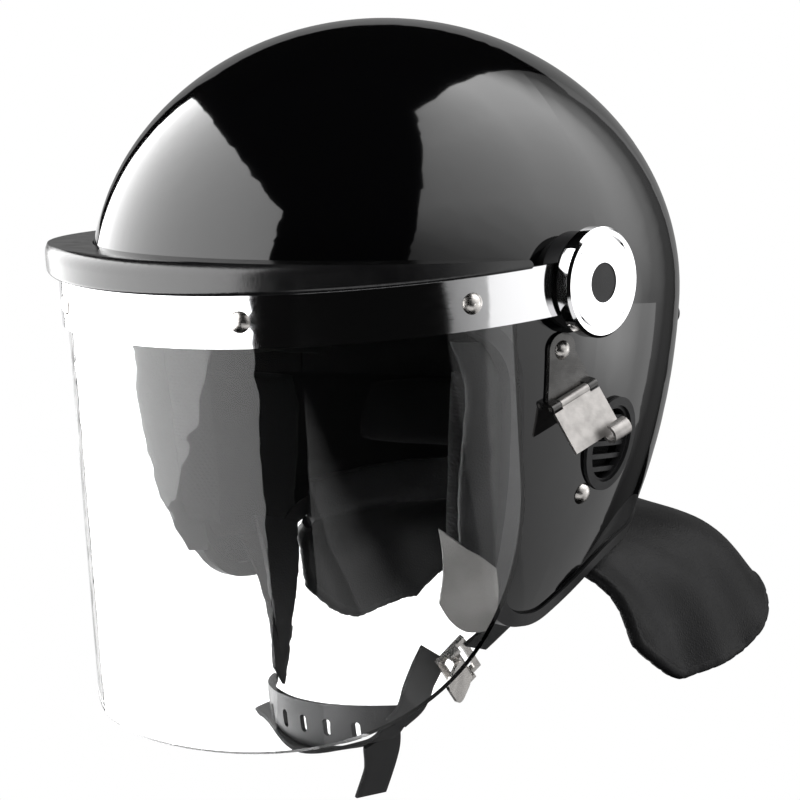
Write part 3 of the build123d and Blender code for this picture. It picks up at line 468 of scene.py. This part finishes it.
def swollen(node_name, full, draw_in=0.0008, voxel=0.004, cap=0.0035, smooth_rounds=4):
    """A node's pad, blown up; full fills its hollow side first."""
    piece = merged_copy(node_name, node_name + "_soft")
    if full:
        bpy.ops.object.mode_set(mode="EDIT")
        bpy.ops.mesh.select_all(action="SELECT")
        bpy.ops.mesh.convex_hull()
        bpy.ops.object.mode_set(mode="OBJECT")
    applied(piece, "REMESH", mode="VOXEL", voxel_size=voxel, use_smooth_shade=True)
    applied(piece, "SMOOTH", factor=0.5, iterations=smooth_rounds)
    applied(piece, "DISPLACE", strength=-draw_in, mid_level=0.0)
    start = [vertex.co.copy() for vertex in piece.data.vertices]
    cloth = piece.modifiers.new("Cloth", "CLOTH")
    cloth.settings.use_pressure = True
    cloth.settings.uniform_pressure_force = PAD_PRESSURE
    cloth.settings.effector_weights.gravity = 0.0
    cloth.settings.quality = CLOTH_QUALITY
    for step in range(1, CLOTH_FRAMES + 1):
        bpy.context.scene.frame_set(step)
    pick(piece)
    bpy.ops.object.modifier_apply(modifier=cloth.name)
    bpy.context.scene.frame_set(1)
    for vertex, first in zip(piece.data.vertices, start):
        move = vertex.co - first
        if move.length > cap:
            vertex.co = first + move * (cap / move.length)
    applied(piece, "SUBSURF", levels=1, render_levels=1)
    return piece


pad_nodes = ["crown_pad", "brow_pad", "temple_pad_left", "temple_pad_right", "nape_pad",
             "cheek_pad_left", "cheek_pad_right"]
for pad_name in pad_nodes:
    pad = swollen(pad_name, full=pad_name.startswith("cheek"))
    dressed(pad, pad_cloth_with_painted_shade, stands_for=[pad_name], smooth=60)

# %% [markdown]
# ## Neck guard
# The guard is a leather skirt sewn under the rear rim. It flares out and back, its hem is piped,
# and shallow folds run down it. A grid is laid round it: u runs from the wearer's left front round
# the back to the right front, and v runs from the tuck under the shell down to the hem.

# %% Neck guard surface
GUARD_SLOPE = math.tan(math.radians(11.6))
START_ANGLE, SWEEP = 3, 174
TOP_HALF_W, TOP_CENTRE_Y, TOP_R = 81.5, 50.0, 80.5
HEM_HALF_W, HEM_FRONT_Y, HEM_BACK_Y, HEM_R = 104.5, 80.0, 204.0, 36.0
TOP_LEVEL, HEM_LEVEL = -139.7, -198.5
TUCK, TUCK_SHARE = 18.0, 0.2
FRONT_LIFT, FRONT_ROUND, REAR_LIFT, REAR_ROUND_FROM, SIDE_SAG = 16.0, 38.0, 10.0, 160.0, 9.5
BULGE, BULGE_RISE, SIDE_BULGE = 16.0, 0.75, 0.35
WIDE_FOLD, NARROW_FOLD = 1.3, 0.7
GUARD_THICK, GUARD_RIM = 0.0058, 0.0018


def hem_outline(u):
    """The hem's plan: side, round corner, back, round corner, side, by its length."""
    side = HEM_BACK_Y - HEM_R - HEM_FRONT_Y
    turn = HEM_R * math.pi / 2
    back = 2 * (HEM_HALF_W - HEM_R)
    run = min(u, 1 - u) * (2 * side + 2 * turn + back)
    if run < side:
        x, y = HEM_HALF_W, HEM_FRONT_Y + run
    elif run < side + turn:
        angle = (run - side) / HEM_R
        x, y = HEM_HALF_W - HEM_R + HEM_R * math.cos(angle), HEM_BACK_Y - HEM_R + HEM_R * math.sin(angle)
    else:
        x, y = HEM_HALF_W - HEM_R - (run - side - turn), HEM_BACK_Y
    return (x if u <= 0.5 else -x), y


def hem_lift(y):
    """The hem hangs lowest along the side and is rounded up towards its front and its back."""
    front = max(0.0, 1 - (y - HEM_FRONT_Y) / FRONT_ROUND)
    rear = max(0.0, (y - REAR_ROUND_FROM) / (HEM_BACK_Y - REAR_ROUND_FROM))
    return FRONT_LIFT * front ** 1.7 + REAR_LIFT * rear ** 1.5 - SIDE_SAG * (1 - front) * (1 - rear)


def guard_place(u, v):
    """A point on the guard's middle surface."""
    angle = math.radians(START_ANGLE + SWEEP * u)
    top_x, top_y = TOP_HALF_W * math.cos(angle), TOP_CENTRE_Y + TOP_R * math.sin(angle)
    top_z = TOP_LEVEL + top_y * GUARD_SLOPE
    if v < TUCK_SHARE:
        return place(top_x, top_y, top_z + TUCK * (1 - v / TUCK_SHARE))
    down = (v - TUCK_SHARE) / (1 - TUCK_SHARE)
    hem_x, hem_y = hem_outline(u)
    hem_z = HEM_LEVEL + hem_y * GUARD_SLOPE + hem_lift(hem_y)
    folds = WIDE_FOLD * math.sin(34 * u + 3 * math.sin(9 * u)) + NARROW_FOLD * math.sin(71 * u + 4 * down)
    out = Vector((math.cos(angle), math.sin(angle), 0)) * folds * math.sin(math.pi * min(1, down * 0.62))
    swell = BULGE * math.sin(math.pi * down) ** 1.2 * (SIDE_BULGE + (1 - SIDE_BULGE) * math.sin(angle) ** 2)
    bow = Vector((math.cos(angle), math.sin(angle), BULGE_RISE)) * swell
    flat = Vector((top_x, top_y, top_z)).lerp(Vector((hem_x, hem_y, hem_z)), down)
    return place(*(flat + out + bow))


guard = shaped_grid("neck_guard_leather", 150, 34, guard_place)
thickened(guard, GUARD_THICK, rim=GUARD_RIM, rim_segments=3, rim_angle=60)
dressed(guard, guard_leather, stands_for=["neck_guard"], smooth=50)

# %% [markdown]
# Piping is a cord sewn into the seam where the two leather faces meet. It is modelled as a curve
# with a round bevel, swelled a little between the stitches, and then made a mesh.

# %% Piping round the hem
CORD_RADIUS, STITCH_PINCH, STITCH_PITCH = 0.0034, 0.09, 5
SEAM_START, EDGE_STEPS, HEM_STEPS = 0.3, 24, 240


def piping(name, points):
    """A round cord through points, pinched at every stitch."""
    curve = bpy.data.curves.new(name, "CURVE")
    curve.dimensions = "3D"
    curve.bevel_depth = CORD_RADIUS
    curve.bevel_resolution = 3
    curve.use_fill_caps = True
    spline = curve.splines.new("POLY")
    spline.points.add(len(points) - 1)
    for i, point in enumerate(points):
        spline.points[i].co = (*point, 1)
        spline.points[i].radius = 1 - STITCH_PINCH if i % STITCH_PITCH == 0 else 1
    piece = bpy.data.objects.new(name, curve)
    bpy.context.scene.collection.objects.link(piece)
    pick(piece)
    bpy.ops.object.convert(target="MESH")
    return bpy.context.object


def guard_edge():
    """Points down one front edge, round the hem and up the other front edge."""
    seam = 1 - SEAM_START
    down = [guard_place(0, SEAM_START + seam * i / EDGE_STEPS) for i in range(EDGE_STEPS)]
    hem = [guard_place(i / HEM_STEPS, 1) for i in range(HEM_STEPS + 1)]
    up = [guard_place(1, 1 - seam * i / EDGE_STEPS) for i in range(1, EDGE_STEPS + 1)]
    return down + hem + up


dressed(piping("neck_guard_piping", guard_edge()), guard_leather, smooth=60)

# %% [markdown]
# ## Webbing
# The chin harness is flat webbing, 20 mm wide and a little narrower under the chin. It is too thin
# for a simulation, so it is modelled as a strip: a smooth line runs through a few stations, and each
# station says which way lies across.

# %% Straps
def smooth_between(stations, share):
    """A point on the smooth line through the stations, by its share of them."""
    spans = len(stations) - 1
    at = min(share * spans, spans - 1e-6)
    i = int(at)
    t = at - i
    points = [stations[min(max(k, 0), spans)] for k in (i - 1, i, i + 1, i + 2)]
    before, start, end, after = (Vector(point) for point in points)
    return 0.5 * ((2 * start) + (end - before) * t + (2 * before - 5 * start + 4 * end - after) * t * t
                  + (3 * start - before - 3 * end + after) * t * t * t)


def strap(name, stations, across, width=20.0, thick=1.7, steps=60):
    """Webbing through stations in millimetres; across gives the way over at each."""
    def where(u, v):
        point = smooth_between(stations, v)
        ahead = smooth_between(stations, min(1, v + 0.01)) - smooth_between(stations, max(0, v - 0.01))
        along = ahead.normalized()
        side = smooth_between(across, v)
        side = (side - along * side.dot(along)).normalized()
        return place(*(point + side * (u - 0.5) * width))
    return thickened(shaped_grid(name, 6, steps, where), thick / 1000, rim=0.0005)


TO_BACK = (0, 1, 0)
STRAP_TOP = [(107.2, 23.1, -88), (100.5, 23.1, -112)]
UPPER_STRAP = STRAP_TOP + [(91.2, 23.1, -136), (67, 23.1, -159), (57.6, 19.5, -169.5)]
LOWER_STRAP = [(51, -1, -171), (49, -7, -184), (45.5, -8, -196), (40, -12, -204)]
RIGHT_STRAP = [(-x, y, z) for x, y, z in STRAP_TOP]
RIGHT_STRAP += [(-88, 22, -136), (-72, 19, -152), (-58, 12, -174), (-46.5, 1, -197)]
RIGHT_ACROSS = [TO_BACK] * 4 + [(-0.3, 1, 0), (-0.6, 1, 0)]
CHIN_STRAP = [(40, -12, -204), (30, -13, -213.5), (0, -22, -221.5), (-30, -13, -213.5), (-38, -14, -207)]
CHIN_ACROSS = [(0, 1, 0.2), TO_BACK, TO_BACK, TO_BACK, (0, 1, 0.2)]
TAIL = [(31.5, -11, -212), (23.5, -1.5, -225), (17.3, -0.9, -242.3)]
for name, node_name, stations, across, settings in (
        ("webbing_right", "strap_right", RIGHT_STRAP, RIGHT_ACROSS, {}),
        ("webbing_upper_left", "strap_upper_left", UPPER_STRAP, [TO_BACK] * 5, {}),
        ("webbing_lower_left", "strap_lower_left", LOWER_STRAP, [TO_BACK] * 4, {"steps": 24}),
        ("webbing_chin", "chin_web", CHIN_STRAP, CHIN_ACROSS, {"width": 17.0}),
        ("webbing_tail", "strap_tail", TAIL, [TO_BACK] * 3, {"steps": 24})):
    dressed(strap(name, stations, across, **settings), webbing, stands_for=[node_name])

# %% [markdown]
# ## Opening rolls, knit fronts and strap flaps
# A leather roll is sewn round the front edge of the lining on each side, so the wearer's cheek does
# not meet the bare rim. Its section is a rounded tongue that reaches forward from the rim. The
# reach is kept as the x of a point, so that the same smooth line serves for it.

# %% Edge rolls
SIDES = (("left", 1), ("right", -1))
SKIN_THICK = 0.0016
ROLL_LINE = [(101, -46, -27), (103, -33, -46), (101.5, -30, -66), (98, -26, -88), (95, -21, -108),
             (92, -16, -124), (88.5, -11, -141)]
ROLL_REACH = [(reach, 0, 0) for reach in (10, 15, 16, 17, 17, 15, 9)]
ROLL_HALF_W = 5.5
ROLL_RIPPLE = 0.015
ROLL_END = 0.35


def edge_roll(name, side):
    """A rounded tongue down the opening's edge, on the side of x that side gives."""
    def where(u, v):
        centre = smooth_between(ROLL_LINE, v)
        reach = smooth_between(ROLL_REACH, v).x * (1 + ROLL_RIPPLE * math.sin(70 * v))
        turn = math.pi * u
        x = centre.x - ROLL_HALF_W * math.cos(turn) * min(1, ROLL_END + 5 * (1 - v))
        return place(side * x, centre.y - reach * math.sin(turn), centre.z)
    return thickened(shaped_grid(name, 20, 90, where), SKIN_THICK)


for side_name, side in SIDES:
    dressed(edge_roll("edge_roll_" + side_name, side), roll_leather, smooth=60)

# %% [markdown]
# The front face of each cheek pad is an open ribbed knit, which lets air through. It is a strip with
# a soft bulge, laid between the roll and the pad's inner face.

# %% Knit fronts of the cheek pads
KNIT_LINE = [(88, -34, -42), (85.5, -31, -66), (84, -28, -88), (82.5, -26, -108), (82, -24, -126)]
KNIT_HALF_W = 11.0
KNIT_BULGE = 4.5
KNIT_SET_BACK = 6


def knit_front(name, side):
    """A bulged strip down the front of a cheek pad, on the side of x that side gives."""
    def where(u, v):
        centre = smooth_between(KNIT_LINE, v)
        swell = KNIT_BULGE * math.sin(math.pi * u) * math.sin(math.pi * min(1, 0.08 + v)) ** 0.3
        x = centre.x + KNIT_HALF_W * (1 - 2 * u)
        return place(side * x, centre.y + KNIT_SET_BACK * u * u - swell, centre.z)
    return thickened(shaped_grid(name, 24, 70, where), SKIN_THICK)


for side_name, side in SIDES:
    dressed(knit_front("knit_front_" + side_name, side), knit_cloth, smooth=60)

# %% [markdown]
# A flap of leather hangs under each cheek pad and keeps the webbing off the jaw. The left one is
# short and pale, and the right one narrows to a point beside the chin cup.

# %% Strap flaps
LEFT_FLAP_TOP = [(88, -45, -108), (94, -36, -115), (98, -28, -120), (99.5, -20, -125)]
LEFT_FLAP_HEM = [(81, -34, -142), (81, -26, -150), (84, -18, -155), (90, -9, -154)]
RIGHT_FLAP_TOP = [(-72, 6, -124), (-72, 20, -126), (-72, 35, -128)]
RIGHT_FLAP_TIP = [(-50, 4, -192), (-50, 6, -193), (-50, 8, -192)]
FLAP_BOW = 2.5
FLAP_THICK, FLAP_RIM = 0.002, 0.0007


def strap_flap(name, top, hem):
    """A leather flap under the cheek pad, bowed a little between its edges."""
    def where(u, v):
        point = smooth_between(top, u).lerp(smooth_between(hem, u), v)
        return place(point.x + FLAP_BOW * math.sin(math.pi * v), point.y, point.z)
    return thickened(shaped_grid(name, 36, 30, where), FLAP_THICK, rim=FLAP_RIM)


for name, top, hem, leather in (("strap_flap_left", LEFT_FLAP_TOP, LEFT_FLAP_HEM, flap_leather),
                                ("strap_flap_right", RIGHT_FLAP_TOP, RIGHT_FLAP_TIP, roll_leather)):
    dressed(strap_flap(name, top, hem), leather, smooth=50)

# %% [markdown]
# ## Light
# Glossy black paint shows little but what it reflects, so the studio is part of the look. Two large
# soft boxes stand left and right of the camera, with a dark gap between them. A card and a faint box
# draw the far edges, and three small cards fill the pivot cap, the band and the shell's low side.
# All seven are seen in reflections alone, and a pale even sky lights the colours.

# %% Soft boxes
def graded(tree, axis, stops):
    """A factor that changes along one edge of a lamp, by shares of that edge."""
    spot = tree.nodes.new("ShaderNodeNewGeometry")
    parts = tree.nodes.new("ShaderNodeSeparateXYZ")
    ramp = tree.nodes.new("ShaderNodeValToRGB")
    tree.links.new(spot.outputs["Parametric"], parts.inputs["Vector"])
    tree.links.new(parts.outputs[axis], ramp.inputs["Fac"])
    while len(ramp.color_ramp.elements) < len(stops):
        ramp.color_ramp.elements.new(0.5)
    for element, (share, level) in zip(ramp.color_ramp.elements, stops):
        element.position = share
        element.color = (level, level, level, 1)
    return ramp.outputs["Color"]


EVEN = [(0.0, 1.0), (1.0, 1.0)]
HUMP = [(0.0, 0.0), (0.35, 1.0), (0.65, 1.0), (1.0, 0.0)]
LIT_SPOT = place(15, 0, -20)


def soft_box(name, azimuth, distance, edges, level, across=EVEN, upwards=EVEN, lean=0, through=True):
    """A panel that faces the helmet.

    Its edges are left, right, low and high, as shares of its distance. It is graded across and
    upwards, it leans by some degrees, and through says if it shows in the shield's second surface.
    """
    left, right, low, high = edges
    turn = math.radians(azimuth)
    out = Vector((math.sin(turn), -math.cos(turn), 0))
    level_side = Vector((math.cos(turn), math.sin(turn), 0))
    tip = math.radians(lean)
    side = level_side * math.cos(tip) - Vector((0, 0, math.sin(tip)))
    up = level_side * math.sin(tip) + Vector((0, 0, math.cos(tip)))
    centre = LIT_SPOT + out * distance
    centre += side * distance * (right + left) / 2 + up * distance * (high + low) / 2
    lamp = bpy.data.lights.new(name, "AREA")
    lamp.shape = "RECTANGLE"
    lamp.size = distance * (right - left)
    lamp.size_y = distance * (high - low)
    lamp.energy = level * lamp.size * lamp.size_y * math.pi
    lamp.use_nodes = True
    tree = lamp.node_tree
    strength = calculated(tree, "MULTIPLY", graded(tree, "X", across), graded(tree, "Y", upwards))
    tree.links.new(strength, tree.nodes["Emission"].inputs["Strength"])
    panel = bpy.data.objects.new(name, lamp)
    bpy.context.scene.collection.objects.link(panel)
    facing = Matrix((side, up, out)).transposed()
    panel.matrix_world = Matrix.Translation(centre) @ facing.to_4x4()
    panel.visible_camera = False
    panel.visible_diffuse = False
    panel.visible_transmission = through


soft_box("left_soft_box", azimuth=-42, distance=1.3, edges=(-2.3, 1.6, -1.0, 1.28), level=5.4,
         across=[(0.0, 1.0), (1.0, 0.5)])
soft_box("right_soft_box", azimuth=128, distance=1.3, edges=(-1.65, 2.2, -0.6, 3.05), level=3.9,
         across=[(0.0, 0.6), (0.35, 0.95), (0.5, 0.72), (0.62, 0.22), (0.74, 0.05), (1.0, 0.01)],
         upwards=[(0.0, 0.06), (0.15, 0.2), (0.3, 0.6), (0.6, 0.9), (1.0, 1.0)], lean=27)
soft_box("left_edge_card", azimuth=-128, distance=1.5, edges=(-0.3, 0.36, -1.0, 0.05), level=0.8)
soft_box("cap_card", azimuth=142, distance=1.2, edges=(-0.34, 0.34, -0.24, 0.14), level=1.1,
         across=HUMP, upwards=HUMP)
soft_box("low_card", azimuth=140, distance=1.1, edges=(-0.85, 0.6, -1.0, -0.03), level=0.5)
soft_box("front_low_card", azimuth=72, distance=1.1, edges=(-0.75, 0.6, -1.3, -0.40), level=0.8,
         upwards=[(0.0, 1.0), (0.85, 1.0), (1.0, 0.0)])
soft_box("rear_soft_box", azimuth=-150, distance=1.5, edges=(-0.3, 0.7, -0.2, 0.6), level=0.25,
         through=False)
print("lamps in the studio:", len(bpy.data.lights))

# %% [markdown]
# The sky is plain: white to the camera and through the shield, even and pale for the colours, and
# nearly dark in reflections, as in a studio where only the soft boxes shine.

# %% Sky
SKY_SEEN, SKY_THROUGH, SKY_LIGHT, SKY_MIRRORED = 1.0, 1.03, 0.9, 0.003
world = bpy.data.worlds.new("studio")
bpy.context.scene.world = world
world.use_nodes = True
sky = world.node_tree
sky.nodes.clear()


def sky_background(level):
    """White sky of a given level."""
    node = sky.nodes.new("ShaderNodeBackground")
    node.inputs["Color"].default_value = (1, 1, 1, 1)
    node.inputs["Strength"].default_value = level
    return node.outputs["Background"]


def past_shield(tree, ray):
    """A factor for rays that passed the shield.

    A single mirroring inside the sheet would lay a grey veil over the whole helmet, so it is left
    dark. Rays mirrored many times come out at the sheet's edges and keep those bright.
    """
    mirrored_once = calculated(tree, "COMPARE", ray["Glossy Depth"], 1.0, 0.5)
    return calculated(tree, "SUBTRACT", ray["Is Transmission Ray"], mirrored_once, clamp=True)


sky_ray = sky.nodes.new("ShaderNodeLightPath").outputs
mirrored = calculated(sky, "GREATER_THAN", sky_ray["Glossy Depth"], 0.5)
even_light = mixed(sky, mirrored, sky_background(SKY_LIGHT), sky_background(SKY_MIRRORED))
behind_shield = mixed(sky, past_shield(sky, sky_ray), even_light, sky_background(SKY_THROUGH))
seen = mixed(sky, sky_ray["Is Camera Ray"], behind_shield, sky_background(SKY_SEEN))
sky.links.new(seen, sky.nodes.new("ShaderNodeOutputWorld").inputs["Surface"])
print("sky nodes:", len(sky.nodes))

# %% [markdown]
# The floor lies well below, since the helmet is worn or hung rather than stood on its guard. It is
# pale and shines white to the camera, so that it meets the white sky with no line. It can't be seen
# from underneath, and it isn't mirrored in the paint.

# %% Floor
LOWEST_POINT = place(0, 0, -243)
FLOOR_DROP, FLOOR_SIZE = 0.32, 12
bpy.ops.object.select_all(action="DESELECT")
bpy.ops.mesh.primitive_plane_add(size=FLOOR_SIZE, location=(0, 0, LOWEST_POINT.z - FLOOR_DROP))
floor = bpy.context.object
floor.name = "studio_floor"
floor_paint, floor_tree, floor_shader = finish("floor_white", (0.8, 0.8, 0.8), 0.9)
floor_ray = floor_tree.nodes.new("ShaderNodeLightPath").outputs
white = calculated(floor_tree, "MAXIMUM", floor_ray["Is Camera Ray"], past_shield(floor_tree, floor_ray))
glow = floor_tree.nodes.new("ShaderNodeEmission")
glow.inputs["Strength"].default_value = 1.0
top_face = mixed(floor_tree, white, floor_shader.outputs["BSDF"], glow.outputs["Emission"])
clear = floor_tree.nodes.new("ShaderNodeBsdfTransparent")
from_below = floor_tree.nodes.new("ShaderNodeNewGeometry").outputs["Backfacing"]
one_sided = mixed(floor_tree, from_below, top_face, clear.outputs["BSDF"])
floor_tree.links.new(one_sided, floor_tree.nodes["Material Output"].inputs["Surface"])
floor.data.materials.append(floor_paint)
floor.visible_glossy = False

# %% [markdown]
# ## Camera
# The camera stands where the product photograph was taken: to the wearer's left of the front, a
# little above the pivots, and turned a few degrees about its own axis.

# %% Camera
camera_place = place(881.7, -959.8, 43.4)
looks_at = place(15.8, 7.5, -61.1)
ROLL = math.radians(2.855)
FOCAL_LENGTH, SENSOR_WIDTH = 128.65, 36.0
ahead = (looks_at - camera_place).normalized()
level_right = ahead.cross(Vector((0, 0, 1))).normalized()
level_up = level_right.cross(ahead)
camera_right = level_right * math.cos(ROLL) + level_up * math.sin(ROLL)
camera_up = level_up * math.cos(ROLL) - level_right * math.sin(ROLL)
lens = bpy.data.cameras.new("photo_camera")
lens.lens = FOCAL_LENGTH
lens.sensor_width = SENSOR_WIDTH
camera = bpy.data.objects.new("photo_camera", lens)
bpy.context.scene.collection.objects.link(camera)
turned = Matrix((camera_right, camera_up, -ahead)).transposed().to_4x4()
camera.matrix_world = Matrix.Translation(camera_place) @ turned
bpy.context.scene.camera = camera
bpy.context.scene.view_settings.view_transform = "Standard"
print("camera at", camera_place, "with a lens of", lens.lens, "mm")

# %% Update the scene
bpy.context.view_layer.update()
